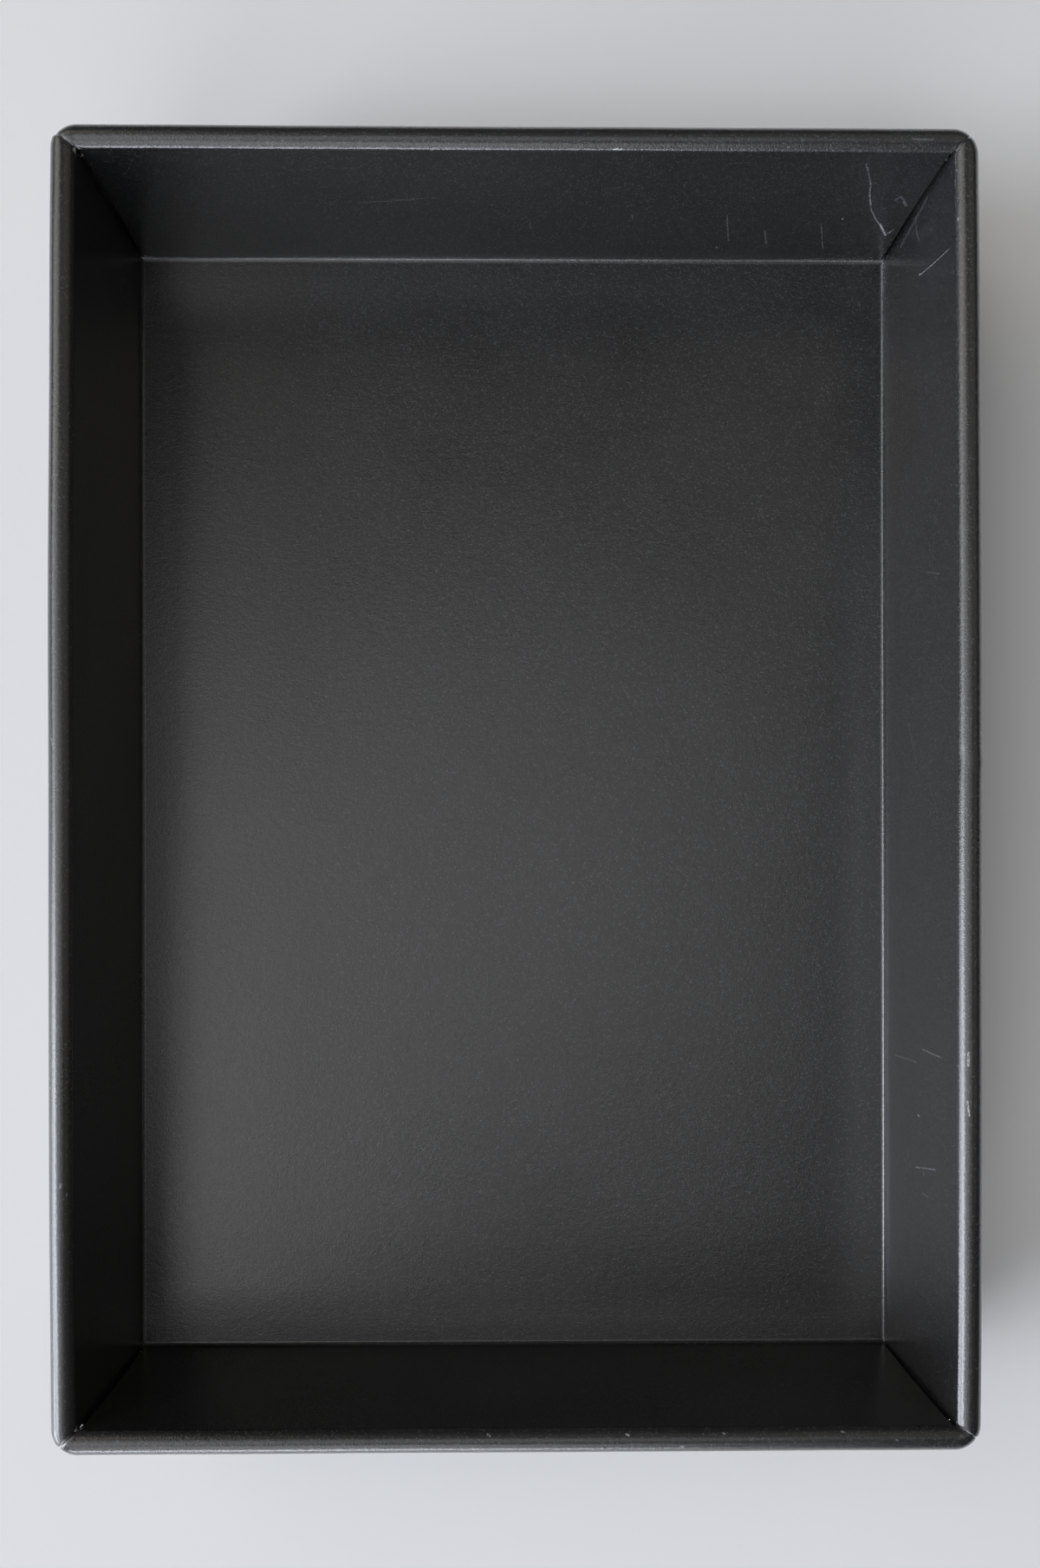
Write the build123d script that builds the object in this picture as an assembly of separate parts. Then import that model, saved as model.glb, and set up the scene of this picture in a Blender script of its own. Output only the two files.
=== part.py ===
from build123d import *
from math import acos, atan, atan2, cos, degrees, hypot, pi, radians, sin, tan
import os

# Rectangular 9 x 13 in baking pan, folded from one steel blank round one rim wire.
# Millimetres. +Z up, X across the short side, Y along the long side.
# The origin is the centre of the underside.
# The blank is divided along its own fold lines, so each panel is a solid of its own
# and neighbouring panels meet face to face where the real sheet is bent.

# ---------------------------------------------------------------- driving dimensions
SHEET = 0.8                 # thickness of the coated steel sheet
HEIGHT = 57.15              # underside to the top of the rolled rim
OPENING_X = 228.6           # clear opening between the rolled rims, short way
OPENING_Y = 330.2           # clear opening between the rolled rims, long way
ROLL_D = 6.8                # outer diameter of the rolled rim
WIRE_D = 5.1                # diameter of the rim wire
ROLL_CORNER_R = 3.6         # plan radius of the roll's centre line at the corners
FLARE = 4.25                # how far each wall leans out, floor to rim, at the inner faces
BEND_IN_R = 1.2             # inner radius of the bend between the floor and a wall
CORNER_SLIT = 0.5           # open crease between end wall and side wall, inside the corner
ROLL_SLIT = 0.45            # open slit between two rolls at a corner
CURL_END = -140.0           # angle at which the curled edge stops, under the wire
WIRE_BUTT_Y = 7.0           # where the two wire ends butt, on the right side
WIRE_BUTT_GAP = 0.3

# ---------------------------------------------------------------- derived sizes
R = ROLL_D / 2
CX = OPENING_X / 2 + R      # centre line of the side rolls
CY = OPENING_Y / 2 + R      # centre line of the end rolls
CZ = HEIGHT - R             # height of the roll's centre line
FX = OPENING_X / 2 - FLARE  # half width of the inner floor, fold to fold
FY = OPENING_Y / 2 - FLARE  # half length of the inner floor, fold to fold
STRAIGHT_X = CX - ROLL_CORNER_R
STRAIGHT_Y = CY - ROLL_CORNER_R

# lean of a wall from the vertical: its inner face is tangent to the roll
_a, _b = CX - FX, CZ - SHEET
LEAN = acos(R / hypot(_a, _b)) - atan2(_b, _a)
BEND_OUT_R = BEND_IN_R + SHEET
FOLD_IN = BEND_IN_R * tan((pi / 2 - LEAN) / 2)   # flat floor stops this far inside the fold
BEND_TOP = 2.2              # just above the bend, where plates are full thickness
FLAP_TOP = HEIGHT - ROLL_D - 0.05
# the blank's left-over angle at each corner, halved by the fold of the envelope
FACE_ANGLE = pi / 2 + atan(sin(LEAN))
FLAP_ANGLE = (2 * pi - pi / 2 - 2 * FACE_ANGLE) / 2

print("lean", round(degrees(LEAN), 3), "deg; inner floor", round(2 * FX, 2), "x", round(2 * FY, 2))
print("overall", round(2 * CX + ROLL_D, 2), "x", round(2 * CY + ROLL_D, 2), "x", HEIGHT)
print("envelope fold angle", round(degrees(FLAP_ANGLE), 2), "deg")


def beyond(normal, point, size=900):
    """Big block on the far side of a plane, for cutting."""
    return Plane(origin=point, z_dir=normal) * Pos(0, 0, size / 2) * Box(size, size, size)


def end_plane(sign, s):
    """Plane parallel to an end wall's inner face, s outward of it: normal and a point."""
    n = (0, sign * cos(LEAN), -sin(LEAN))
    return n, (0, sign * (FY + s * cos(LEAN)), SHEET - s * sin(LEAN))


def side_plane(sign, s):
    """Plane parallel to a side wall's inner face, s outward of it: normal and a point."""
    n = (sign * cos(LEAN), 0, -sin(LEAN))
    return n, (sign * (FX + s * cos(LEAN)), 0, SHEET - s * sin(LEAN))


def wall_section(fold, roll_centre):
    """Floor bend and wall plate in section: (outward, up) outline as a face in XZ."""
    c = (fold - FOLD_IN, SHEET + BEND_IN_R)
    out = (cos(LEAN), -sin(LEAN))

    def on(radius, angle):
        return (c[0] + radius * sin(angle), c[1] - radius * cos(angle))

    quarter = pi / 2 - LEAN
    in_low, in_mid, in_high = (on(BEND_IN_R, quarter * k) for k in (0, 0.5, 1))
    out_low, out_mid, out_high = (on(BEND_OUT_R, quarter * k) for k in (0, 0.5, 1))
    top_in = (roll_centre - R * cos(LEAN), CZ + R * sin(LEAN))
    top_out = (top_in[0] + SHEET * out[0], top_in[1] + SHEET * out[1])
    edge = [
        ThreePointArc(in_low, in_mid, in_high),
        Line(in_high, top_in),
        Line(top_in, top_out),
        Line(top_out, out_high),
        ThreePointArc(out_high, out_mid, out_low),
        Line(out_low, in_low),
    ]
    return Plane.XZ * make_face(edge)


def corner_wedge(sx, sy, of_side_wall):
    """Below the bend's top, what belongs to the neighbour beyond the corner's mitre."""
    x0, y0 = FX - FOLD_IN, FY - FOLD_IN
    if of_side_wall:
        pts = [(x0 - 6, y0), (x0, y0), (x0 + 20, y0 + 20), (x0 - 6, y0 + 20)]
    else:
        pts = [(x0, y0 - 6), (x0, y0), (x0 + 20, y0 + 20), (x0 + 20, y0 - 6)]
    pts = [(sx * x, sy * y) for x, y in pts]
    face = make_face(Polyline(*pts, close=True))
    return Pos(0, 0, -1) * extrude(face, amount=BEND_TOP + 1, dir=(0, 0, 1))


# ---------------------------------------------------------------- floor
def floor_panel():
    w, l = 2 * (FX - FOLD_IN), 2 * (FY - FOLD_IN)
    return Pos(0, 0, SHEET / 2) * Box(w, l, SHEET)


# ---------------------------------------------------------------- walls
def side_wall(sign):
    """Long wall on +X or -X. Its ends run past the end walls to the corner folds."""
    body = extrude(wall_section(FX, CX), amount=2 * CY, both=True, dir=(0, 1, 0))
    if sign < 0:
        body = mirror(body, about=Plane.YZ)
    for sy in (1, -1):
        body -= beyond(*end_plane(sy, 2 * SHEET))
        body -= corner_wedge(sign, sy, True)
        # the blank's corner is cut away under the curved end of the roll
        notch_h = 20
        body -= Pos(sign * CX, sy * (STRAIGHT_Y + 10), FLAP_TOP + notch_h / 2) * Box(40, 20, notch_h)
    return body


def end_wall(sign):
    """Short wall on +Y or -Y, between the side walls, with a crease left open at each end."""
    section = wall_section(FY, CY)
    # the section is drawn outward along +X and is turned to lie along +Y
    body = extrude(section, amount=2 * CX, both=True, dir=(0, 1, 0))
    body = Rot(0, 0, 90) * body
    if sign < 0:
        body = mirror(body, about=Plane.XZ)
    above = Pos(0, 0, BEND_TOP + 50) * Box(900, 900, 100)
    for sx in (1, -1):
        body -= beyond(*side_plane(sx, -CORNER_SLIT)) & above
        body -= corner_wedge(sx, sign, False)
        body -= beyond(*side_plane(sx, 6.0))
    return body


# ---------------------------------------------------------------- envelope folds
def outer_face_y(z):
    """Y of the outer ply's outer face at height z."""
    return FY + 3 * SHEET * cos(LEAN) + (z - SHEET + 3 * SHEET * sin(LEAN)) * tan(LEAN)


def corner_fold(sx, sy):
    """Doubled triangle of sheet that wraps round the corner and lies on the end wall."""
    normal, _ = end_plane(sy, 0)
    up = (0, sy * sin(LEAN), cos(LEAN))
    # a plane in the end wall's inner face: x towards the corner, y up the wall
    across = Vector(sx, 0, 0)
    plane = Plane(origin=(0, sy * FY, SHEET), x_dir=across, z_dir=across.cross(Vector(*up)))
    v0 = (BEND_TOP - SHEET) / cos(LEAN)
    v1 = 70.0
    slope = tan(FLAP_ANGLE - atan(sin(LEAN)))
    pts = [(FX - v0 * slope, v0), (FX + 12, v0), (FX + 12, v1), (FX - v1 * slope, v1)]
    face = plane * make_face(Polyline(*pts, close=True))

    def ply(s0, s1):
        start = Vector(*normal) * s0
        moved = Pos(start.X, start.Y, start.Z) * face
        return extrude(moved, amount=s1 - s0, dir=Vector(*normal))

    inner = ply(SHEET, 2 * SHEET) - beyond(*side_plane(sx, -CORNER_SLIT))
    outer = ply(2 * SHEET, 3 * SHEET) - beyond(*side_plane(sx, SHEET))
    body = inner + outer
    body -= Pos(0, 0, FLAP_TOP + 20) * Box(600, 600, 40)
    body -= Pos(0, 0, BEND_TOP - 20) * Box(600, 600, 40)

    # the bend round the corner, then the folded edge along the diagonal
    corner_bend = [
        e for e in body.edges()
        if e.length > 40 and abs(e.center().X) > FX + 1.0
        and abs(e.center().Y) > outer_face_y(e.center().Z) - 0.02
    ]
    body = fillet(corner_bend, 0.75)
    folded_edge = [e for e in body.edges() if e.length > 50]
    body = fillet(folded_edge, 0.7)
    return body


# ---------------------------------------------------------------- rolled rim
def curl_section():
    """Sheet curled outward round the wire, in XZ about the origin: a C open under the wire."""
    a0, a1 = degrees(pi - LEAN), CURL_END
    r_in = R - SHEET

    def at(radius, deg):
        return (radius * cos(radians(deg)), radius * sin(radians(deg)))

    mid = (a0 + a1) / 2
    edge = [
        ThreePointArc(at(R, a0), at(R, mid), at(R, a1)),
        Line(at(R, a1), at(r_in, a1)),
        ThreePointArc(at(r_in, a1), at(r_in, mid), at(r_in, a0)),
        Line(at(r_in, a0), at(R, a0)),
    ]
    return make_face(edge)


def rolled_rim(cross, straight, centre):
    """Roll along +Y at +X: a straight run, and at each end its half of the corner."""
    section = Plane.XZ * curl_section()
    body = Pos(centre, 0, CZ) * extrude(section, amount=straight, both=True, dir=(0, 1, 0))
    for sy in (1, -1):
        face = Pos(centre, sy * straight, CZ) * section
        axis = Axis((cross, sy * straight, 0), (0, 0, sy))
        bend = revolve(face, axis, 45)
        # the slit lies along the corner's diagonal
        n = (-sin(radians(45)), sy * cos(radians(45)), 0)
        cut_at = (cross - n[0] * ROLL_SLIT / 2, sy * straight - n[1] * ROLL_SLIT / 2, 0)
        bend -= beyond(n, cut_at)
        body += bend
    return body


def side_roll(sign):
    body = rolled_rim(STRAIGHT_X, STRAIGHT_Y, CX)
    return body if sign > 0 else mirror(body, about=Plane.YZ)


def end_roll(sign):
    body = Rot(0, 0, 90) * rolled_rim(STRAIGHT_Y, STRAIGHT_X, CY)
    return body if sign > 0 else mirror(body, about=Plane.XZ)


# ---------------------------------------------------------------- wire
def rim_wire():
    """One wire round the whole rim, its two ends butted on the right side."""
    g = WIRE_BUTT_GAP / 2
    pts = [
        (CX, WIRE_BUTT_Y + g), (CX, CY), (-CX, CY), (-CX, -CY), (CX, -CY), (CX, WIRE_BUTT_Y - g),
    ]
    path = Pos(0, 0, CZ) * FilletPolyline(*pts, radius=ROLL_CORNER_R)
    start = Plane(origin=(CX, WIRE_BUTT_Y + g, CZ), x_dir=(1, 0, 0), z_dir=(0, 1, 0))
    return sweep(start * Circle(WIRE_D / 2), path=path)


# ---------------------------------------------------------------- write one file per piece
PARTS = {
    "floor_panel": floor_panel(),
    "side_wall_left": side_wall(-1),
    "side_wall_right": side_wall(1),
    "end_wall_front": end_wall(-1),
    "end_wall_back": end_wall(1),
    "corner_fold_front_left": corner_fold(-1, -1),
    "corner_fold_front_right": corner_fold(1, -1),
    "corner_fold_back_left": corner_fold(-1, 1),
    "corner_fold_back_right": corner_fold(1, 1),
    "rolled_rim_left": side_roll(-1),
    "rolled_rim_right": side_roll(1),
    "rolled_rim_front": end_roll(-1),
    "rolled_rim_back": end_roll(1),
    "rim_wire": rim_wire(),
}

os.makedirs("parts", exist_ok=True)
for name, piece in PARTS.items():
    solids = piece.solids()
    if len(solids) == 1:
        piece = solids[0]
    export_step(piece, f"parts/{name}.step")
    box = piece.bounding_box()
    print(name, len(solids), round(sum(s.volume for s in solids), 1),
          [round(v, 2) for v in (*box.min, *box.max)])
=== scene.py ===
import math

import bmesh
import bpy
import numpy as np
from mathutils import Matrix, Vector


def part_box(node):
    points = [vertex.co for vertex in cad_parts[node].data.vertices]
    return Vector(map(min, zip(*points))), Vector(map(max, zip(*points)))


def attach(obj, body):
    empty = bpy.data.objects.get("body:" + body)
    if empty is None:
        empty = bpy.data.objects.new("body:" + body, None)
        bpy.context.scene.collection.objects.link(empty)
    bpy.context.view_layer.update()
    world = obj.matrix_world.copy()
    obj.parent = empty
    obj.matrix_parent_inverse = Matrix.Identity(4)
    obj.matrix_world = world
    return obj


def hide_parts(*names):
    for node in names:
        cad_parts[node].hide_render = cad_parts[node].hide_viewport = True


# Folded 9 x 13 in baking pan: every panel, fold and roll is a formed-sheet mesh that stands for
# the CAD node of the same place. Lengths are in millimetres here until the mesh is made.

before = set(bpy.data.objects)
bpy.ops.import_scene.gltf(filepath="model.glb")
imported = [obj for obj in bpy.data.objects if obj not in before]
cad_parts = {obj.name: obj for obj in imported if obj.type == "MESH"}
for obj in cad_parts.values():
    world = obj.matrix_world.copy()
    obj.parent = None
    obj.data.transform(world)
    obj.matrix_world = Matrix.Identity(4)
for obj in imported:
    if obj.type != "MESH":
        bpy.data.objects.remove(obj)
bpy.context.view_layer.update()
scene = bpy.context.scene
MM = 0.001
PI = math.pi


def box(node):
    lo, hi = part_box(node)
    return np.array(lo) / MM, np.array(hi) / MM


# ---------------------------------------------------------------- sizes, read from the frame
_lo, _hi = box("rolled_rim_right")
R = (_hi[2] - _lo[2]) / 2                # outer radius of the roll
CX, CZ = _hi[0] - R, _hi[2] - R          # centre line of the side rolls, and its height
_lo, _hi = box("rolled_rim_back")
CY = _hi[1] - R                          # centre line of the end rolls
_lo, _hi = box("floor_panel")
X0, Y0, T = _hi[0], _hi[1], _hi[2]       # the flat floor's edges and the sheet's thickness
_lo, _hi = box("rim_wire")
WIRE_R = (_hi[2] - _lo[2]) / 2
BEND = 1.2                               # inner radius of the floor bend
RC = 3.6                                 # plan radius of the roll's centre line at a corner
SX, SY = CX - RC, CY - RC

LEAN = 0.08
for _ in range(40):
    FOLD_IN = BEND * math.tan((PI / 2 - LEAN) / 2)
    FX, FY = X0 + FOLD_IN, Y0 + FOLD_IN
    a_, b_ = CX - FX, CZ - T
    LEAN = math.acos(R / math.hypot(a_, b_)) - math.atan2(b_, a_)
cL, sL, tL = math.cos(LEAN), math.sin(LEAN), math.tan(LEAN)
# The roll isn't quite round: the wall turns over a tight shoulder into a flatter inner flank.
SHOULDER_R, SHOULDER_END = 1.2, math.radians(38)
cS, sS = math.cos(SHOULDER_END), math.sin(SHOULDER_END)
FLANK_R = (R * cL - (R - SHOULDER_R * sS + SHOULDER_R * sL - R * sL) * tL
           + SHOULDER_R * (cS - cL)) / (cS - (1 - sS) * tL)
SHOULDER_X = (SHOULDER_R - FLANK_R) * cS
SHOULDER_Z = R - FLANK_R * (1 - sS) - SHOULDER_R * sS
TAN_Z = CZ + SHOULDER_Z + SHOULDER_R * sL    # where the wall turns into the roll
FLAP_ANGLE = (2 * PI - PI / 2 - 2 * (PI / 2 + math.atan(sL))) / 2
FLAP_SLOPE = math.tan(FLAP_ANGLE - math.atan(sL))


def smooth(x):
    x = np.clip(x, 0.0, 1.0)
    return x * x * (3 - 2 * x)


def crease(z):
    """Width of the open crease between an end wall and a side wall, widest at mid height."""
    return 0.42 + 0.34 * float(smooth((z - 4) / 20)) - 0.22 * float(smooth((z - 34) / 18))


# ---------------------------------------------------------------- how the real sheet isn't perfect
def ripple(u, v, seed, scale):
    """Gentle low waves, the same every run: a sum of sines at uneven angles and lengths."""
    rng = np.random.default_rng(seed)
    out = np.zeros(np.broadcast(u, v).shape)
    for k in range(7):
        ang = rng.uniform(0, 2 * PI)
        wl = scale * rng.uniform(0.5, 1.8)
        ph = rng.uniform(0, 2 * PI)
        out = out + rng.uniform(0.4, 1.0) * np.sin((u * math.cos(ang) + v * math.sin(ang)) * 2 * PI / wl + ph)
    return out / 3.2


TOE = 0.7            # the corners stand this far in of the straight sides
TOE_RUN = 100.0


def deform(p):
    """Moves points of the ideal pan to the formed one. One field for every piece, so that
    neighbours stay joined: corners toed in, slightly wavy walls, floor and rim."""
    p = np.array(p, float)
    x, y, z = p[..., 0], p[..., 1], p[..., 2]
    up = smooth(z / CZ)
    # the long sides are widest along their middle and draw in towards the corners
    near = np.clip((np.abs(y) - (CY - TOE_RUN)) / TOE_RUN, 0, 1.02) ** 2
    across = smooth((np.abs(x) - 40) / 70)
    dx = -np.sign(x) * TOE * near * across * up
    # walls
    on_side = smooth((np.abs(x) - 95) / 10)
    on_end = smooth((np.abs(y) - 148) / 8) * (1 - smooth((np.abs(x) - 96) / 14))
    belly = smooth(z / 18) * (1 - 0.75 * smooth((z - 36) / 16))
    side = np.where(x > 0, ripple(y, z, 11, 95), ripple(y, z, 12, 95))
    end = np.where(y > 0, ripple(x, z, 13, 85), ripple(x, z, 14, 85))
    fade_y = 1 - smooth((np.abs(y) - 140) / 22)
    dx = dx + 0.16 * on_side * belly * side * fade_y
    dy = 0.16 * on_end * belly * end
    # rim: long slow waves in and out and up and down
    rim = smooth((z - 44) / 8)
    dx = dx + 0.10 * rim * on_side * np.where(x > 0, ripple(y, 0 * y, 21, 120), ripple(y, 0 * y, 22, 120)) * fade_y
    dy = dy + 0.08 * rim * smooth((np.abs(y) - 148) / 8) * (1 - smooth((np.abs(x) - 80) / 20)) * np.where(
        y > 0, ripple(x, 0 * x, 23, 110), ripple(x, 0 * x, 24, 110))
    dz = 0.10 * rim * ripple(x, y, 25, 170)
    # where the ends of the wire butt, the right roll bulges a touch
    dx = dx + 0.22 * rim * (x > 100) * np.exp(-((y - 7.0) / 2.6) ** 2)
    # floor
    inside = (1 - smooth((np.abs(x) - 88) / 18)) * (1 - smooth((np.abs(y) - 138) / 20))
    dz = dz + 0.22 * (1 - up) * inside * (0.5 + 0.5 * ripple(x, y, 31, 150))
    return np.stack([x + dx, y + dy, z + dz], -1)


# ---------------------------------------------------------------- mesh making
COLLECTION = bpy.data.collections.new("pan_looks")
scene.collection.children.link(COLLECTION)


def finish_mesh(name, verts, faces, wear=None, sharp_deg=32, weld=2e-4):
    """verts in millimetres, already deformed. Welds, cleans and orients one closed solid.
    The per-point values, 0 to 1, are a painted highlight: a paler grey in the coat where the cut ends of the rolls
    catch the light."""
    mesh = bpy.data.meshes.new(name)
    mesh.from_pydata((np.asarray(verts) * MM).tolist(), [], faces)
    # per-point painted highlight at the cut ends of the rolls, drawn paler in the coat
    layer = mesh.attributes.new("wear", "FLOAT", "POINT")
    layer.data.foreach_set("value", np.zeros(len(verts)) if wear is None else np.asarray(wear, float))
    bm = bmesh.new()
    bm.from_mesh(mesh)
    bmesh.ops.remove_doubles(bm, verts=bm.verts, dist=weld * MM)
    bmesh.ops.dissolve_degenerate(bm, edges=bm.edges, dist=weld * MM)
    bmesh.ops.recalc_face_normals(bm, faces=bm.faces)
    loose = [v for v in bm.verts if not v.link_faces]
    if loose:
        bmesh.ops.delete(bm, geom=loose, context="VERTS")
    limit = math.radians(sharp_deg)
    for f in bm.faces:
        f.smooth = True
    for e in bm.edges:
        if len(e.link_faces) == 2:
            e.smooth = e.calc_face_angle(0.0) < limit
    bm.to_mesh(mesh)
    bm.free()
    obj = bpy.data.objects.new(name, mesh)
    COLLECTION.objects.link(obj)
    return obj


def shell(name, A, B, wear=None, **kw):
    """Closed solid between two matching grids of points, A and B, each (n, m, 3)."""
    n, m, _ = A.shape
    verts = np.concatenate([A.reshape(-1, 3), B.reshape(-1, 3)])
    if wear is not None:
        wear = np.concatenate([wear.reshape(-1), wear.reshape(-1)])
    off = n * m
    f = []
    for i in range(n - 1):
        for j in range(m - 1):
            a, b, c, d = i * m + j, (i + 1) * m + j, (i + 1) * m + j + 1, i * m + j + 1
            f.append((a, b, c, d))
            f.append((off + d, off + c, off + b, off + a))
        for j in (0, m - 1):
            a, b = i * m + j, (i + 1) * m + j
            quad = (a, off + a, off + b, b)
            f.append(quad if j == 0 else quad[::-1])
    for i in (0, n - 1):
        for j in range(m - 1):
            a, b = i * m + j, i * m + j + 1
            quad = (a, b, off + b, off + a)
            f.append(quad if i == 0 else quad[::-1])
    return finish_mesh(name, deform(verts), f, wear, **kw)


def eased_angles(a0, a1, step, fine):
    """Angles from a0 to a1 in degrees, in even steps with finer ones at both ends."""
    s = 1 if a1 > a0 else -1
    span = abs(a1 - a0)
    t = [0.0]
    inc = fine
    while t[-1] + inc < span / 2:
        t.append(t[-1] + inc)
        inc = min(step, inc * 1.7)
    half = np.array(t)
    back = (span - half)[::-1]
    gap = back[0] - half[-1]
    k = int(gap / step)
    mid = [half[-1] + gap * (q + 1) / (k + 1) for q in range(k)]
    return a0 + s * np.concatenate([half, mid, back])


# ---------------------------------------------------------------- floor
def graded(lo, hi, n, edge, power=1.0):
    t = np.linspace(0, 1, n)
    core = lo + (hi - lo) * t
    extra = np.array([lo + edge * q for q in (0.25, 0.5)] + [hi - edge * q for q in (0.5, 0.25)])
    return np.unique(np.concatenate([core, extra]))


def floor_piece():
    gx = graded(-X0, X0, 66, 3.0)
    gy = graded(-Y0, Y0, 96, 3.0)
    xx, yy = np.meshgrid(gx, gy, indexing="ij")
    top = np.stack([xx, yy, np.full_like(xx, T)], -1)
    low = np.stack([xx, yy, np.zeros_like(xx)], -1)
    obj = shell("floor_sheet", top, low)
    # the underside stays flat on what it stands on
    me = obj.data
    co = np.zeros(len(me.vertices) * 3)
    me.vertices.foreach_get("co", co)
    co = co.reshape(-1, 3)
    low_ones = co[:, 2] < 0.5 * T * MM
    edge = (np.abs(co[:, 0]) > (X0 - 0.01) * MM) | (np.abs(co[:, 1]) > (Y0 - 0.01) * MM)
    co[low_ones & ~edge, 2] = np.maximum(co[low_ones & ~edge, 2], 0.0)
    me.vertices.foreach_set("co", co.reshape(-1))
    return obj


# ---------------------------------------------------------------- walls
def wall_profile():
    """(outward, up) points of the inner and the outer face, from the floor's edge to the roll.
    Outward is measured from the fold line."""
    c = (-FOLD_IN, T + BEND)
    q = math.degrees(PI / 2 - LEAN)
    ang = np.radians(eased_angles(0, q, 7.0, 0.7))
    inner = [(c[0] + BEND * math.sin(a), c[1] - BEND * math.cos(a)) for a in ang]
    outer = [(c[0] + (BEND + T) * math.sin(a), c[1] - (BEND + T) * math.cos(a)) for a in ang]
    start = inner[-1][1]
    hs = np.concatenate([
        start + np.array([0.08, 0.3, 0.8, 1.6]),
        np.linspace(start + 3.0, TAN_Z - 2.0, 22),
        TAN_Z - np.array([1.0, 0.4, 0.1, 0.0]),
    ])
    for z in hs:
        o = (z - T) * tL
        inner.append((o, z))
        outer.append((o + T * cL, z - T * sL))
    return np.array(inner), np.array(outer)


INNER, OUTER = wall_profile()


def along_steps(n, ends):
    """0..1 in n steps with finer ones near both ends."""
    core = np.linspace(0, 1, n)
    return np.unique(np.concatenate([core, ends, 1 - np.array(ends)]))


def side_wall(sign, name):
    t = along_steps(110, [0.0005, 0.0015, 0.003, 0.005])
    m = len(INNER)
    A = np.zeros((len(t), m, 3))
    B = np.zeros_like(A)
    for j in range(m):
        for grid, (o, z) in ((A, INNER[j]), (B, OUTER[j])):
            yi = FY + (z - T) * tL if z > T else FY
            grow = float(smooth((z - 1.9) / 4.5))
            if z <= 1.95 and j < m - 28:
                end = FY + o                       # mitre of the two bends
            else:
                end = yi + T * cL * (1.0 + grow) if grid is B else yi + 2 * T * cL * grow
            if z > 50.3:
                # under the curved end of the roll the sheet only backs the crease
                end = yi + 0.45
            grid[:, j, 0] = sign * (FX + o)
            grid[:, j, 1] = (2 * t - 1) * end
            grid[:, j, 2] = z
    obj = shell(name, A, B)
    return obj


def end_wall(sign, name):
    """Its upright edges turn outward with the radius of a sheet folded back on itself."""
    m = len(INNER)
    core = np.linspace(-1, 1, 84)
    turn = np.radians([0, 2, 6, 12, 20, 30, 42, 55, 68, 80])
    n = len(core) + 2 * len(turn)
    A = np.zeros((n, m, 3))
    B = np.zeros_like(A)
    for j in range(m):
        z_in, z_out = INNER[j][1], OUTER[j][1]
        xe = FX + (z_in - T) * tL - crease(z_in)
        grow = float(smooth((z_in - 1.6) / 2.0))
        if z_in <= 1.6:
            xa = xb = None
        # inner face
        flat_end = xe - T
        mitre = FX + INNER[j][0]
        mitre_out = FX + OUTER[j][0]
        xs, off = [], []
        for k in turn[::-1]:
            xs.append(-(flat_end + T * math.sin(k)))
            off.append(T * (1 - math.cos(k)))
        xs += list(core * flat_end)
        off += [0.0] * len(core)
        for k in turn:
            xs.append(flat_end + T * math.sin(k))
            off.append(T * (1 - math.cos(k)))
        xs, off = np.array(xs), np.array(off)
        # low down the wall runs out to the mitre of the bends instead
        span = np.linspace(-1, 1, n)
        xs_m = span * mitre
        xs = xs * grow + xs_m * (1 - grow) if grow < 1 else xs
        off = off * grow
        A[:, j, 0] = xs
        A[:, j, 1] = sign * (FY + INNER[j][0] + off * cL)
        A[:, j, 2] = z_in - off * sL
        xo = np.concatenate([np.linspace(-xe, -flat_end, len(turn)), core * flat_end,
                             np.linspace(flat_end, xe, len(turn))])
        xo = xo * grow + span * mitre_out * (1 - grow) if grow < 1 else xo
        B[:, j, 0] = xo
        B[:, j, 1] = sign * (FY + OUTER[j][0])
        B[:, j, 2] = z_out
    return shell(name, A, B)


# ---------------------------------------------------------------- envelope folds
def corner_fold(sx, sy, name):
    """Two plies folded on the diagonal, lying on the end wall, and wrapped round the corner."""
    zs = np.concatenate([[1.9, 2.2, 2.8, 3.6, 4.8, 6.4], np.linspace(8.5, 50.42, 26)])
    vs = (zs - T) / cL
    q = np.radians([0, 8, 20, 34, 50, 66, 80, 90])
    rows_a, rows_b = [], []
    for z, v in zip(zs, vs):
        g = float(smooth((z - 1.9) / 5.0))
        u0 = FX - v * FLAP_SLOPE
        uc = FX + (z - T) * tL + T / cL            # outer face of the side wall
        ug = FX + (z - T) * tL - crease(z)
        s_in, s_mid, s_out = T, T + T * g, T + 2 * T * g
        r = T * max(g, 0.02)
        width = uc - u0
        ua, sa, sb = [], [], []
        for k in q:                                # the folded edge, half round
            d = min(r, width * 0.3) * (1 - math.cos(k))
            ua.append(u0 + d)
            sa.append(s_mid + (s_out - s_mid) * math.sin(k))
            sb.append(s_mid - (s_mid - s_in) * math.sin(k))
        d0 = ua[-1]
        last = uc - r
        for f_ in np.linspace(0.04, 1.0, 16):
            ua.append(d0 + (last - d0) * f_)
            sa.append(s_out)
            sb.append(s_in)
        for k in q[1:]:                            # the bend round the corner
            ua.append(last + r * math.sin(k))
            sa.append(s_out - (s_out - s_mid) * (1 - math.cos(k)))
            sb.append(s_in)
        ua, sa, sb = map(np.array, (ua, sa, sb))
        ub = ua.copy()
        past = ub > ug
        sb = np.where(past, s_mid - 1e-3, sb)
        rows_a.append(np.stack([ua, sa, np.full_like(ua, z)], -1))
        rows_b.append(np.stack([ub, sb, np.full_like(ua, z)], -1))
    out = []
    for rows in (rows_a, rows_b):
        g_ = np.array(rows)
        u, s, z = g_[..., 0], g_[..., 1], g_[..., 2]
        y = FY + (z - T) * tL + s / cL
        out.append(np.stack([sx * u, sy * y, z], -1))
    return shell(name, out[0], out[1], weld=1e-3)
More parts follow.
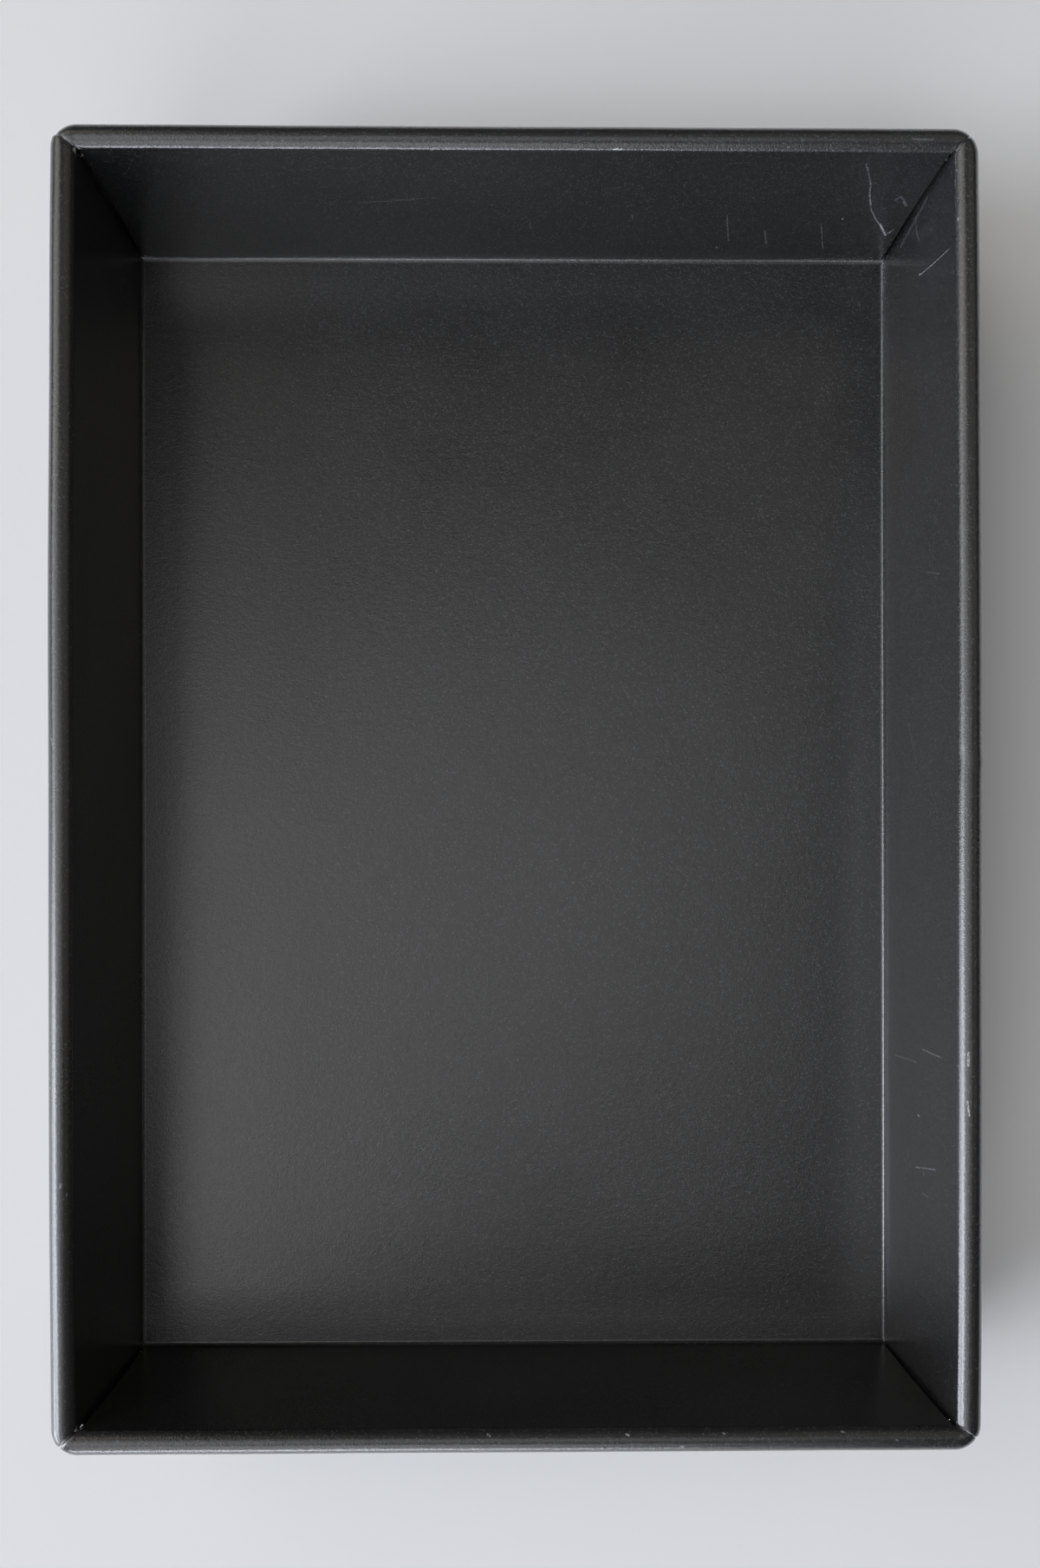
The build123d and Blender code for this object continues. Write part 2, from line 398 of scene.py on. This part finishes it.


# ---------------------------------------------------------------- rolled rim
# Where the slit between two rolls lies at each corner, in degrees from the short axis, and how
# the two cut ends look there: half widths inner, top and outer; step out of the side roll's end;
# a painted highlight on the cut edges where they catch the light (how much, at what angle round the roll, spread,
# width).
CORNERS = {
    (-1, 1): dict(slit=35.5, side=(0.50, 0.20, 0.55), end=(0.42, 0.16, 0.14), side_out=0.45, sink=0.45, seed=3,
                  wear_side=(0.35, 60, 30, 0.3), wear_end=(1.0, 138, 34, 0.62)),
    (1, 1): dict(slit=44.0, side=(0.20, 0.13, 0.30), end=(0.20, 0.11, 0.22), side_out=0.05, sink=0.34, seed=5,
                 wear_side=(1.0, 132, 20, 0.42), wear_end=(1.0, 128, 20, 0.34)),
    (-1, -1): dict(slit=45.0, side=(0.24, 0.15, 0.34), end=(0.22, 0.15, 0.40), side_out=0.10, sink=0.30, seed=7,
                   wear_side=(0.85, 84, 30, 0.45), wear_end=(0.8, 72, 26, 0.40)),
    (1, -1): dict(slit=32.0, side=(0.18, 0.13, 0.28), end=(0.18, 0.13, 0.30), side_out=0.12, sink=0.30, seed=9,
                  wear_side=(0.8, 124, 34, 0.36), wear_end=(0.35, 110, 40, 0.22)),
}
THETA = np.radians(np.concatenate([
    eased_angles(180 - math.degrees(LEAN), 180 - math.degrees(SHOULDER_END), 4.5, 0.6),
    eased_angles(180 - math.degrees(SHOULDER_END), -140.0, 4.0, 4.0)[1:]]))


def roll_section(inset):
    """(outward, up) from the wire's centre for each angle of the normal in THETA, the given
    depth below the roll's outer surface."""
    c, s = np.cos(THETA), np.sin(THETA)
    out, up = R * c, R * s
    flank = c < 0
    out, up = np.where(flank, FLANK_R * c, out), np.where(flank, R - FLANK_R * (1 - s), up)
    turn = -c > cS
    out = np.where(turn, SHOULDER_X + SHOULDER_R * c, out)
    up = np.where(turn, SHOULDER_Z + SHOULDER_R * s, up)
    return out - inset * c, up - inset * s


def half_gap(theta, half, seed):
    deg = np.degrees(theta)
    inner = smooth((deg - 95) / 70)
    outer = smooth((70 - deg) / 60)
    h = half[1] + (half[0] - half[1]) * inner + (half[2] - half[1]) * outer
    rough = 0.05 * ripple(deg, 0 * deg, 100 + seed, 34) + 0.03 * ripple(deg, 0 * deg, 140 + seed, 9)
    return np.maximum(h + rough, 0.03)


def roll(axis, sign, name):
    """One rolled edge: a straight run and at each end its share of the corner."""
    straight = SY if axis == "side" else SX
    cross = SX if axis == "side" else SY
    core = np.linspace(-(straight - 3.2), straight - 3.2, 120 if axis == "side" else 86)
    uu = np.linspace(0, 1, 23)[1:]
    m = len(THETA)

    def end_rows(e):
        """Rows beyond the straight run at the end e (+1 or -1): (along, outward, z) for A and B."""
        key = (sign, e) if axis == "side" else (e, sign)
        c = CORNERS[key]
        ang = math.radians(c["slit"] if axis == "side" else 90 - c["slit"])
        rows = {}
        for which, deep in (("A", 0.0), ("B", T)):
            rho = RC + roll_section(deep)[0]
            h = half_gap(THETA, c[axis], c["seed"] + (0 if axis == "side" else 1))
            reach = rho * math.sin(ang)
            in_straight = h >= reach - 1e-9
            s_back = np.where(in_straight, (h - reach) / math.cos(ang), 0)
            psi_end = np.where(in_straight, 0, ang - np.arcsin(np.clip(h / np.maximum(rho, 1e-6), -1, 1)))
            q_end = np.where(in_straight, -s_back, psi_end * RC)
            q = -3.2 + (q_end[None, :] + 3.2) * uu[:, None]
            left = (q_end[None, :] - q)                     # distance back from the cut, mm
            # the cut end is pressed down on the wire on its inner side, and rounds over
            deg = np.degrees(THETA)
            inner_side = smooth((deg - 70) / 50) * (1 - smooth((deg - 168) / 12))
            press = c["sink"] * inner_side[None, :] * np.clip(1 - left / 1.7, 0, 1) ** 2
            lip = 0.10 * np.clip(1 - left / 0.25, 0, 1) ** 2
            o_, z_ = roll_section(deep + (press + lip if which == "A" else press * 0.5))
            psi = np.maximum(q, 0) / RC
            rho_ = RC + o_
            # painted highlight: paler grey on the cut edge where it catches the light
            glint_spot = c["wear_" + axis]
            glint_amount = glint_spot[0] * np.exp(-((deg - glint_spot[1]) / glint_spot[2]) ** 2)
            rows["wear"] = glint_amount[None, :] * np.clip(1.3 - left / glint_spot[3], 0, 1)
            out_step = 0.0
            if axis == "side":
                # cut square, so it doesn't follow the corner's arc all the way
                out_step = c["side_out"] * smooth(psi / ang) * smooth((np.cos(THETA)[None, :] + 0.6) / 1.2)
            rho_ = rho_ + out_step
            along = straight + np.minimum(q, 0) + rho_ * np.sin(psi)
            outward = cross + rho_ * np.cos(psi)
            z = CZ + z_
            rows[which] = np.stack([outward, e * along, np.broadcast_to(z, outward.shape)], -1)
        return rows

    grids = {}
    tail, head = end_rows(1), end_rows(-1)
    for which, deep in (("A", 0.0), ("B", T)):
        o_, z_ = roll_section(deep)
        mid = np.zeros((len(core), m, 3))
        mid[..., 0] = cross + RC + o_
        mid[..., 1] = core[:, None]
        mid[..., 2] = CZ + z_
        g = np.concatenate([head[which][::-1], mid, tail[which]])
        if axis == "side":
            g = np.stack([sign * g[..., 0], g[..., 1], g[..., 2]], -1)
        else:
            g = np.stack([g[..., 1], sign * g[..., 0], g[..., 2]], -1)
        grids[which] = g
    # painted highlight along the roll: none on the straight run, some at the cut ends
    wear = np.concatenate([head["wear"][::-1], np.zeros((len(core), m)), tail["wear"]])
    return shell(name, grids["A"], grids["B"], wear, weld=1e-4)


# ---------------------------------------------------------------- wire
def wire(name):
    """Closed round bar inside the rolls, its two ends butted on the right side."""
    pts = []
    gap = 0.15

    def straight(p, q, n):
        for t in np.linspace(0, 1, n, endpoint=False):
            pts.append((p[0] + (q[0] - p[0]) * t, p[1] + (q[1] - p[1]) * t))

    def arc(cx, cy, a0):
        for a in np.radians(np.linspace(a0, a0 + 90, 14, endpoint=False)):
            pts.append((cx + RC * math.cos(a), cy + RC * math.sin(a)))

    straight((CX, 7 + gap), (CX, SY), 40)
    arc(SX, SY, 0)
    straight((SX, CY), (-SX, CY), 60)
    arc(-SX, SY, 90)
    straight((-CX, SY), (-CX, -SY), 80)
    arc(-SX, -SY, 180)
    straight((-SX, -CY), (SX, -CY), 60)
    arc(SX, -SY, 270)
    straight((CX, -SY), (CX, 7 - gap), 40)
    pts.append((CX, 7 - gap))
    pts = np.array(pts)
    d = np.gradient(pts, axis=0)
    d /= np.linalg.norm(d, axis=1)[:, None]
    side = np.stack([d[:, 1], -d[:, 0]], -1)
    k = 28
    ang = np.linspace(0, 2 * PI, k, endpoint=False)
    verts = []
    for p, s in zip(pts, side):
        for a in ang:
            verts.append((p[0] + s[0] * WIRE_R * math.cos(a), p[1] + s[1] * WIRE_R * math.cos(a),
                          CZ + WIRE_R * math.sin(a)))
    n = len(pts)
    faces = []
    for i in range(n - 1):
        for j in range(k):
            j2 = (j + 1) % k
            faces.append((i * k + j, i * k + j2, (i + 1) * k + j2, (i + 1) * k + j))
    faces.append(tuple(range(k)))
    faces.append(tuple((n - 1) * k + j for j in reversed(range(k))))
    return finish_mesh(name, deform(np.array(verts)), faces)


# ---------------------------------------------------------------- materials
class Nodes:
    """Short helper for building one material's nodes."""

    def __init__(self, name):
        self.mat = bpy.data.materials.new(name)
        self.mat.use_nodes = True
        self.tree = self.mat.node_tree
        self.tree.nodes.clear()

    def new(self, kind, **props):
        n = self.tree.nodes.new(kind)
        for k, v in props.items():
            setattr(n, k, v)
        return n

    def link(self, a, b):
        self.tree.links.new(a, b)

    def value(self, socket, v):
        if hasattr(v, "is_output"):
            self.link(v, socket)
        else:
            socket.default_value = v

    def math(self, op, a, b=0.0, clamp=False, c=None):
        n = self.new("ShaderNodeMath", operation=op, use_clamp=clamp)
        self.value(n.inputs[0], a)
        self.value(n.inputs[1], b)
        if c is not None:
            self.value(n.inputs[2], c)
        return n.outputs[0]

    def remap(self, v, a, b, c, d, kind="SMOOTHSTEP"):
        n = self.new("ShaderNodeMapRange", interpolation_type=kind, clamp=True)
        self.value(n.inputs["Value"], v)
        for name, x in (("From Min", a), ("From Max", b), ("To Min", c), ("To Max", d)):
            n.inputs[name].default_value = x
        return n.outputs["Result"]

    def noise(self, vec, scale, detail=2.0, rough=0.5, w=None):
        n = self.new("ShaderNodeTexNoise", noise_dimensions="3D")
        self.link(vec, n.inputs["Vector"])
        n.inputs["Scale"].default_value = scale
        n.inputs["Detail"].default_value = detail
        n.inputs["Roughness"].default_value = rough
        return n.outputs["Fac"]

    def voronoi(self, vec, scale, feature="F1", out="Distance"):
        n = self.new("ShaderNodeTexVoronoi", feature=feature)
        self.link(vec, n.inputs["Vector"])
        n.inputs["Scale"].default_value = scale
        return n.outputs[out]

    def mix(self, fac, a, b):
        n = self.new("ShaderNodeMix", data_type="RGBA", blend_type="MIX")
        self.value(n.inputs["Factor"], fac)
        for sock, v in ((n.inputs[6], a), (n.inputs[7], b)):
            if hasattr(v, "is_output"):
                self.link(v, sock)
            else:
                sock.default_value = (*v, 1.0)
        return n.outputs[2]

    def jitter(self, vec, scale, amount):
        """The same place moved about by a little noise, so that lines drawn there aren't ruled."""
        n = self.new("ShaderNodeTexNoise", noise_dimensions="3D")
        self.link(vec, n.inputs["Vector"])
        n.inputs["Scale"].default_value = scale
        n.inputs["Detail"].default_value = 1.0
        sub = self.new("ShaderNodeVectorMath", operation="SUBTRACT")
        self.link(n.outputs["Color"], sub.inputs[0])
        sub.inputs[1].default_value = (0.5, 0.5, 0.5)
        mul = self.new("ShaderNodeVectorMath", operation="MULTIPLY_ADD")
        self.link(sub.outputs[0], mul.inputs[0])
        mul.inputs[1].default_value = (2 * amount,) * 3
        self.link(vec, mul.inputs[2])
        return mul.outputs[0]

    def segment(self, pos, p, q, width, soft=0.35):
        """1 along the line from p to q (metres), 0 away from it."""
        p, q = Vector(p), Vector(q)
        d = q - p
        sub = self.new("ShaderNodeVectorMath", operation="SUBTRACT")
        self.link(pos, sub.inputs[0])
        sub.inputs[1].default_value = p
        dot = self.new("ShaderNodeVectorMath", operation="DOT_PRODUCT")
        self.link(sub.outputs[0], dot.inputs[0])
        dot.inputs[1].default_value = d / d.length_squared
        t = self.math("MAXIMUM", self.math("MINIMUM", dot.outputs["Value"], 1.0), 0.0)
        sc = self.new("ShaderNodeVectorMath", operation="SCALE")
        sc.inputs[0].default_value = d
        self.link(t, sc.inputs["Scale"])
        dist = self.new("ShaderNodeVectorMath", operation="DISTANCE")
        self.link(sub.outputs[0], dist.inputs[0])
        self.link(sc.outputs[0], dist.inputs[1])
        return self.remap(dist.outputs["Value"], width * soft, width, 1.0, 0.0)


def coat_material(name="nonstick_coating", marks=()):
    """Dark grey satin non-stick coat: a rough flaky base under a glossier top, fine grain,
    faint clouding, the small marks of use, and a painted highlight at the rolls' cut ends."""
    n = Nodes(name)
    tc = n.new("ShaderNodeTexCoord")
    pos = tc.outputs["Object"]
    cloud = n.noise(pos, 22.0, 3.0, 0.55)
    mottle = n.noise(pos, 160.0, 3.0, 0.6)
    grain = n.noise(pos, 2300.0, 2.0, 0.6)
    flake = n.voronoi(pos, 3000.0, out="Color")
    sep = n.new("ShaderNodeSeparateColor")
    n.link(flake, sep.inputs[0])
    flake_r = sep.outputs[0]

    # colour
    tone = n.math("ADD", n.math("MULTIPLY", cloud, 0.6), n.math("MULTIPLY", mottle, 0.4))
    base = n.mix(n.remap(tone, 0.3, 0.7, 0.0, 1.0), (0.0092, 0.0095, 0.0104), (0.0142, 0.0146, 0.0159))
    spark = n.remap(flake_r, 0.86, 1.0, 0.0, 0.6)
    base = n.mix(spark, base, (0.080, 0.083, 0.089))

    # marks: scratches and nicks that go through the gloss to a paler grey; the same paler grey, read from the mesh,
    # is also a painted highlight at the rolls' cut ends
    scratch_and_glint = None
    shaky = n.jitter(pos, 1500.0, 0.00012) if marks else None
    for p, q, w, strength in marks:
        s = n.segment(shaky, [v * MM for v in p], [v * MM for v in q], w * MM)
        s = n.math("MULTIPLY", s, strength)
        scratch_and_glint = s if scratch_and_glint is None else n.math("MAXIMUM", scratch_and_glint, s)
    broken = n.remap(n.noise(pos, 1300.0, 2.0, 0.7), 0.36, 0.56, 0.15, 1.0)
    # painted highlight: paler grey where the rolls' cut ends catch the light
    glint_amount = n.new("ShaderNodeAttribute", attribute_name="wear", attribute_type="GEOMETRY").outputs["Fac"]
    scratch_and_glint = glint_amount if scratch_and_glint is None else n.math("MAXIMUM", scratch_and_glint, glint_amount)
    scratch_and_glint = n.math("MULTIPLY", scratch_and_glint, broken)
    base = n.mix(scratch_and_glint, base, (0.46, 0.46, 0.49))

    # gloss
    rough = n.math("ADD", n.math("MULTIPLY", n.remap(cloud, 0.3, 0.7, 0.0, 1.0), 0.05), 0.23)
    rough = n.math("ADD", rough, n.math("MULTIPLY", grain, 0.09))

    # relief: spray texture and single flakes
    height = n.math("ADD", n.math("MULTIPLY", grain, 1.0), n.math("MULTIPLY", flake_r, 0.16))
    height = n.math("ADD", height, n.math("MULTIPLY", n.noise(pos, 700.0, 2.0, 0.5), 0.8))
    bump = n.new("ShaderNodeBump")
    bump.inputs["Strength"].default_value = 1.0
    bump.inputs["Distance"].default_value = 0.000050
    n.link(height, bump.inputs["Height"])

    sh = n.new("ShaderNodeBsdfPrincipled")
    n.link(base, sh.inputs["Base Color"])
    n.link(rough, sh.inputs["Roughness"])
    n.link(bump.outputs["Normal"], sh.inputs["Normal"])
    n.link(bump.outputs["Normal"], sh.inputs["Coat Normal"])
    sh.inputs["Metallic"].default_value = 0.0
    sh.inputs["IOR"].default_value = 1.5
    sh.inputs["Specular IOR Level"].default_value = 0.75
    sh.inputs["Coat Weight"].default_value = 0.85
    sh.inputs["Coat Roughness"].default_value = 0.13
    sh.inputs["Coat IOR"].default_value = 1.5
    out = n.new("ShaderNodeOutputMaterial")
    n.link(sh.outputs[0], out.inputs[0])
    return n.mat


def wire_material():
    n = Nodes("drawn_wire_steel")
    tc = n.new("ShaderNodeTexCoord")
    pos = tc.outputs["Object"]
    mottle = n.noise(pos, 380.0, 4.0, 0.6)
    sh = n.new("ShaderNodeBsdfPrincipled")
    n.link(n.mix(mottle, (0.10, 0.095, 0.09), (0.20, 0.195, 0.19)), sh.inputs["Base Color"])
    n.link(n.remap(mottle, 0.3, 0.7, 0.45, 0.65), sh.inputs["Roughness"])
    sh.inputs["Metallic"].default_value = 0.9
    out = n.new("ShaderNodeOutputMaterial")
    n.link(sh.outputs[0], out.inputs[0])
    return n.mat


def stage_material():
    n = Nodes("pale_floor")
    tc = n.new("ShaderNodeTexCoord")
    pos = tc.outputs["Object"]
    soft = n.noise(pos, 3.0, 3.0, 0.5)
    sh = n.new("ShaderNodeBsdfPrincipled")
    n.link(n.mix(soft, (0.76, 0.765, 0.78), (0.80, 0.80, 0.805)), sh.inputs["Base Color"])
    sh.inputs["Roughness"].default_value = 0.45
    out = n.new("ShaderNodeOutputMaterial")
    n.link(sh.outputs[0], out.inputs[0])
    return n.mat


# ---------------------------------------------------------------- marks of use
# Each is (from, to, width, strength). A place on a wall is (along, up) and one on a roll is
# (along, degrees round the wire from its outer side), in millimetres and degrees.
WALL_BACK = [
    ((92.7, 50.2), (93.9, 47.4), 0.30, 0.30), ((93.9, 47.4), (96.2, 41.3), 0.24, 0.24),
    ((96.2, 41.3), (97.1, 36.5), 0.30, 0.40), ((97.1, 36.5), (99.4, 28.9), 0.30, 0.44),
    ((99.4, 28.9), (102.1, 23.5), 0.28, 0.40), ((102.1, 23.5), (104.1, 20.7), 0.26, 0.5),
    ((104.0, 20.9), (106.9, 15.4), 0.42, 1.0), ((107.0, 15.8), (108.5, 18.2), 0.22, 0.5),
    ((105.0, 33.0), (105.9, 35.2), 0.34, 0.20), ((105.9, 35.2), (107.6, 33.2), 0.34, 0.22),
    ((107.6, 32.6), (108.8, 30.6), 0.55, 0.30), ((107.8, 17.0), (107.8, 16.4), 0.36, 0.5),
    ((92.6, 24.0), (92.6, 23.6), 0.36, 0.45), ((59.6, 25.0), (62.1, 12.1), 0.30, 0.20),
    ((71.7, 17.3), (73.4, 10.1), 0.30, 0.20), ((87.1, 21.0), (90.5, 7.8), 0.20, 0.24),
    ((33.0, 25.4), (33.2, 22.7), 0.26, 0.20), ((4.4, 21.1), (4.5, 18.4), 0.24, 0.20),
    ((59.2, 8.5), (59.3, 8.1), 0.40, 0.35), ((-43.4, 30.9), (-27.7, 32.4), 0.22, 0.16),
    ((-34.4, 32.2), (-21.7, 33.4), 0.20, 0.15),
]
WALL_RIGHT = [
    ((162.6, 36.5), (158.6, 15.6), 0.70, 0.13), ((161.4, 27.4), (157.5, 28.2), 0.44, 0.14),
    ((157.5, 28.2), (153.7, 30.2), 0.50, 0.16), ((143.8, 31.5), (142.7, 41.9), 0.17, 0.75),
    ((142.7, 41.9), (142.0, 51.8), 0.15, 0.60), ((143.9, 31.6), (144.3, 30.2), 0.34, 0.60),
    ((-74.5, 10.0), (-74.5, 26.5), 0.34, 0.14), ((-70.5, 31.1), (-71.2, 44.4), 0.32, 0.22),
    ((-89.3, 27.4), (-89.4, 28.2), 0.52, 0.55), ((-104.0, 25.9), (-102.0, 39.9), 0.26, 0.42),
    ((-104.5, 31.4), (-105.1, 31.6), 0.34, 0.30), ((-100.6, 19.7), (-102.4, 19.7), 0.22, 0.25),
    ((-110.3, 31.0), (-110.5, 34.6), 0.30, 0.20), ((22.0, 20.0), (9.0, 27.0), 0.20, 0.14),
    ((61.0, 34.0), (58.5, 43.0), 0.20, 0.16),
]
ROLL_RIGHT = [
    ((-68.5, 106), (-71.8, 106), 0.42, 0.8), ((-81.1, 110), (-84.7, 104), 0.36, 0.7),
    ((-71.9, 160), (-72.0, 152), 0.26, 0.35), ((-99.2, 152), (-99.4, 147), 0.24, 0.4),
    ((160.5, 137), (160.0, 136), 0.30, 0.4), ((147.9, 134), (147.2, 136), 0.30, 0.4),
    ((142.2, 111), (141.9, 109), 0.30, 0.35),
]
ROLL_LEFT = [
    ((13.0, 55), (11.4, 64), 0.30, 0.35), ((-101.5, 96), (-102.3, 95), 0.34, 0.45),
    ((-93.4, 98), (-93.8, 98), 0.30, 0.35), ((-104.0, 120), (-104.5, 118), 0.28, 0.3),
]
ROLL_BACK = [
    ((25.2, 143), (26.3, 137), 0.26, 0.8), ((26.5, 144), (27.3, 138), 0.22, 0.6),
    ((-22.0, 152), (-21.6, 148), 0.26, 0.4), ((103.0, 99), (108.5, 101), 0.34, 0.16),
    ((-60.5, 118), (-60.0, 114), 0.22, 0.3), ((71.0, 128), (70.4, 131), 0.22, 0.25),
]
ROLL_FRONT = [
    ((-7.8, 124), (-7.2, 118), 0.34, 0.6), ((28.0, 121), (28.6, 116), 0.36, 0.7),
    ((42.0, 72), (42.6, 68), 0.30, 0.7), ((53.0, 124), (53.4, 120), 0.28, 0.4),
    ((84.1, 126), (84.7, 123), 0.32, 0.5), ((98.2, 96), (98.6, 92), 0.26, 0.3),
]


def on_wall(axis, sign, along, up):
    out = (FX if axis == "side" else FY) + (up - T) * tL
    return (sign * out, along, up) if axis == "side" else (along, sign * out, up)


def on_roll(axis, sign, along, degrees):
    o_, z_ = roll_section(0.0)
    a = math.radians(degrees)
    out = (CX if axis == "side" else CY) + np.interp(a, THETA[::-1], o_[::-1])
    z = CZ + np.interp(a, THETA[::-1], z_[::-1])
    return (sign * out, along, z) if axis == "side" else (along, sign * out, z)


def placed(marks, where, axis, sign):
    """The marks as segments in space, on the formed pan."""
    out = []
    for p, q, width, strength in marks:
        ends = deform(np.array([where(axis, sign, *p), where(axis, sign, *q)]))
        out.append((ends[0], ends[1], width, strength))
    return out


# ---------------------------------------------------------------- make the pieces
plain = coat_material("nonstick_coating")
COATS = {
    "end_wall_back": coat_material("nonstick_back_wall", placed(WALL_BACK, on_wall, "end", 1)),
    "side_wall_right": coat_material("nonstick_right_wall", placed(WALL_RIGHT, on_wall, "side", 1)),
    "rolled_rim_right": coat_material("nonstick_right_rim", placed(ROLL_RIGHT, on_roll, "side", 1)),
    "rolled_rim_left": coat_material("nonstick_left_rim", placed(ROLL_LEFT, on_roll, "side", -1)),
    "rolled_rim_back": coat_material("nonstick_back_rim", placed(ROLL_BACK, on_roll, "end", 1)),
    "rolled_rim_front": coat_material("nonstick_front_rim", placed(ROLL_FRONT, on_roll, "end", -1)),
}
wire_mat = wire_material()

PIECES = {
    "floor_panel": floor_piece(),
    "side_wall_left": side_wall(-1, "left_side_wall"),
    "side_wall_right": side_wall(1, "right_side_wall"),
    "end_wall_front": end_wall(-1, "front_end_wall"),
    "end_wall_back": end_wall(1, "back_end_wall"),
    "corner_fold_front_left": corner_fold(-1, -1, "front_left_corner_fold"),
    "corner_fold_front_right": corner_fold(1, -1, "front_right_corner_fold"),
    "corner_fold_back_left": corner_fold(-1, 1, "back_left_corner_fold"),
    "corner_fold_back_right": corner_fold(1, 1, "back_right_corner_fold"),
    "rolled_rim_left": roll("side", -1, "left_rolled_rim"),
    "rolled_rim_right": roll("side", 1, "right_rolled_rim"),
    "rolled_rim_front": roll("end", -1, "front_rolled_rim"),
    "rolled_rim_back": roll("end", 1, "back_rolled_rim"),
    "rim_wire": wire("rim_wire_loop"),
}
for node, piece in PIECES.items():
    is_wire = node == "rim_wire"
    piece.data.materials.append(wire_mat if is_wire else COATS.get(node, plain))
    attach(piece, "root")
    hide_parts(node)

# ---------------------------------------------------------------- stage
mesh = bpy.data.meshes.new("stage_floor")
h = 12.0
mesh.from_pydata([(-h, -h, 0), (h, -h, 0), (h, h, 0), (-h, h, 0)], [], [(0, 1, 2, 3)])
stage = bpy.data.objects.new("stage_floor", mesh)
stage.location.z = -0.00008
scene.collection.objects.link(stage)
mesh.materials.append(stage_material())



def backdrop():
    """Plain pale studio wall, curved up from the edge of the floor. It is seen but neither lights
    the pan nor mirrors in it."""
    n = 96
    prof = [(h * 0.985, -0.001), (h * 0.995, 0.02 * h), (h * 1.0, 0.08 * h), (h * 1.0, 1.4 * h)]
    verts = [(r * math.cos(2 * PI * i / n), r * math.sin(2 * PI * i / n), z) for r, z in prof for i in range(n)]
    faces = [(k * n + i, k * n + (i + 1) % n, (k + 1) * n + (i + 1) % n, (k + 1) * n + i)
             for k in range(len(prof) - 1) for i in range(n)]
    me = bpy.data.meshes.new("studio_backdrop")
    me.from_pydata(verts, [], faces)
    for f in me.polygons:
        f.use_smooth = True
    obj = bpy.data.objects.new("studio_backdrop", me)
    nodes = Nodes("pale_backdrop")
    pos = nodes.new("ShaderNodeTexCoord").outputs["Object"]
    em = nodes.new("ShaderNodeEmission")
    nodes.link(nodes.mix(nodes.noise(pos, 0.4, 2.0, 0.5), (0.50, 0.51, 0.53), (0.53, 0.54, 0.56)), em.inputs["Color"])
    em.inputs["Strength"].default_value = 1.0
    nodes.link(em.outputs[0], nodes.new("ShaderNodeOutputMaterial").inputs[0])
    me.materials.append(nodes.mat)
    scene.collection.objects.link(obj)
    for ray in ("visible_diffuse", "visible_glossy", "visible_transmission", "visible_shadow"):
        setattr(obj, ray, False)


backdrop()

# ---------------------------------------------------------------- light
def area(name, place, target, size, radiance, colour=(1, 1, 1)):
    """Rectangular soft box; radiance times pi times its area is the lamp's power."""
    data = bpy.data.lights.new(name, "AREA")
    data.shape = "RECTANGLE"
    data.size, data.size_y = size
    data.energy = radiance * PI * size[0] * size[1]
    data.color = colour
    obj = bpy.data.objects.new(name, data)
    obj.location = place
    obj.rotation_euler = (Vector(target) - Vector(place)).to_track_quat("-Z", "Y").to_euler()
    obj.visible_camera = False
    scene.collection.objects.link(obj)
    return obj


def around(azimuth, elevation, distance):
    """Place at an azimuth from -X turned towards -Y, and an elevation, in degrees."""
    a, e = math.radians(azimuth), math.radians(elevation)
    return (-distance * math.cos(a) * math.cos(e), -distance * math.sin(a) * math.cos(e),
            distance * math.sin(e))


FAR = 20.0           # soft boxes stand this far off, so the floor is evenly lit


def softbox(name, az, el, radiance, colour=(1, 1, 1), distance=FAR):
    """Soft box that covers this range of azimuth and elevation, seen from the pan."""
    a, e = (az[0] + az[1]) / 2, (el[0] + el[1]) / 2
    size = (distance * math.radians(az[1] - az[0]) * math.cos(math.radians(e)),
            distance * math.radians(el[1] - el[0]))
    return area(name, around(a, e, distance), (0, 0, 0), size, radiance, colour)


COOL, EVEN, WARM = (0.955, 1.0, 1.09), (1.0, 1.0, 1.02), (1.06, 1.0, 0.88)
softbox("window_low", (19, 42), (4, 17), 12.5, COOL)
softbox("window_corner", (0, 19), (4, 17), 3.5, COOL)
softbox("window_mid", (0, 20), (17, 30), 5.5, COOL)
softbox("window_high", (0, 40), (30, 46), 9.0, COOL)
softbox("side_glow", (-25, 0), (20, 45), 2.2, EVEN)
softbox("back_glow", (-60, -25), (20, 60), 1.2, WARM)
softbox("front_glow", (60, 100), (30, 60), 1.6, EVEN)
softbox("front_low", (62, 96), (4, 20), 6.0, COOL)
softbox("ceiling_glow", (-30, 60), (50, 78), 1.3, EVEN)
softbox("far_side_glow", (160, 260), (30, 70), 0.22, WARM)
area("overhead", (0, 0, FAR), (0, 0, 0), (0.46 * FAR, 0.46 * FAR), 0.7, EVEN)

world = bpy.data.worlds.new("soft_room")
scene.world = world
world.use_nodes = True
bg = world.node_tree.nodes["Background"]
bg.inputs["Color"].default_value = (1.0, 0.96, 0.88, 1.0)
bg.inputs["Strength"].default_value = 0.04

# ---------------------------------------------------------------- camera
cam_data = bpy.data.cameras.new("camera")
cam_data.sensor_width = 36.0
cam_data.sensor_fit = "AUTO"
cam_data.lens = 32.892
cam_data.shift_x = 0.00519
cam_data.shift_y = 0.06318
cam_data.clip_start = 0.01
cam_data.clip_end = 50
cam = bpy.data.objects.new("camera", cam_data)
cam.location = (-0.00591, -0.02507, 0.42585)
cam.rotation_euler = (math.radians(0.109), math.radians(-0.7009), math.radians(-0.0714))
scene.collection.objects.link(cam)
scene.camera = cam

scene.view_settings.view_transform = "Standard"
scene.view_settings.look = "None"
scene.view_settings.exposure = 0.0
